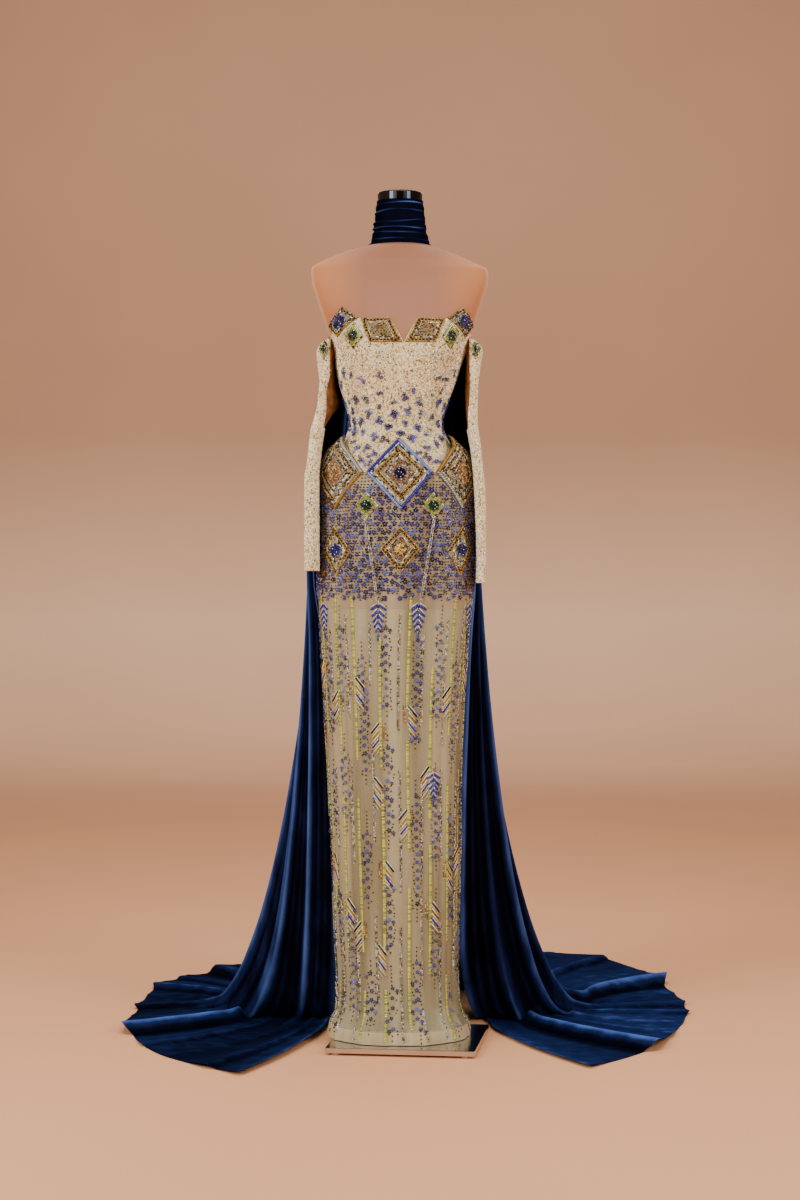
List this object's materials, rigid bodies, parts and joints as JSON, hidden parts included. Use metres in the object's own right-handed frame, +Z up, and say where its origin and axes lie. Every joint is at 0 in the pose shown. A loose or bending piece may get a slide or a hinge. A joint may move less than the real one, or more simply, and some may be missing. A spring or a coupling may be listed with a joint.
{
  "type": "mermaid gown on a dress form",
  "caption": "Strapless beaded column gown with off-shoulder sleeves, a velvet collar and a trained velvet cape, standing on a limbless dress form.",
  "frame": {"origin": "middle of the footprint, train included, on the floor; the figure's own axis stands at x -0.0275, y -0.445", "axes": "+Z up the figure's axis; -Y is the way the gown faces; +X is the viewer's right from the front"},
  "size_m": [1.2688, 1.63, 1.804],
  "materials": {
    "form_skin": "matt stretch fabric",
    "dark_metal": "dark polished",
    "steel": "mirror polished",
    "foot": "matt",
    "cream_beads": "closely beaded, glittering",
    "sheer_net": "sheer net with beads",
    "nude_net": "matt",
    "trim_gold": "bugle beads in gold, silver and black",
    "trim_green": "green and silver beads",
    "trim_navy": "navy, green and silver beads",
    "velvet": "silk velvet"
  },
  "bodies": {
    "root": {"form_torso": "form_skin", "form_neck_cap": "dark_metal", "form_pole": "steel", "base_plate": "steel", "base_foot_1": "foot", "base_foot_2": "foot", "base_foot_3": "foot", "base_foot_4": "foot", "bodice_front": "cream_beads", "bodice_back_l": "cream_beads", "bodice_back_r": "cream_beads", "sleeve_l": "cream_beads", "sleeve_r": "cream_beads", "skirt_front": "sheer_net", "skirt_back_l": "sheer_net", "skirt_back_r": "sheer_net", "skirt_lining": "nude_net", "neck_centre_l": "trim_gold", "neck_centre_r": "trim_gold", "neck_green_l": "trim_green", "neck_green_r": "trim_green", "neck_navy_l": "trim_navy", "neck_navy_r": "trim_navy", "sleeve_green_l": "trim_green", "sleeve_green_r": "trim_green", "hip_centre": "trim_gold", "hip_side_l": "trim_gold", "hip_side_r": "trim_gold", "hip_green_l": "trim_green", "hip_green_r": "trim_green", "low_centre": "trim_gold", "low_side_l": "trim_gold", "low_side_r": "trim_gold", "collar": "velvet", "cape_l": "velvet", "cape_r": "velvet"}
  },
  "joints": []
}
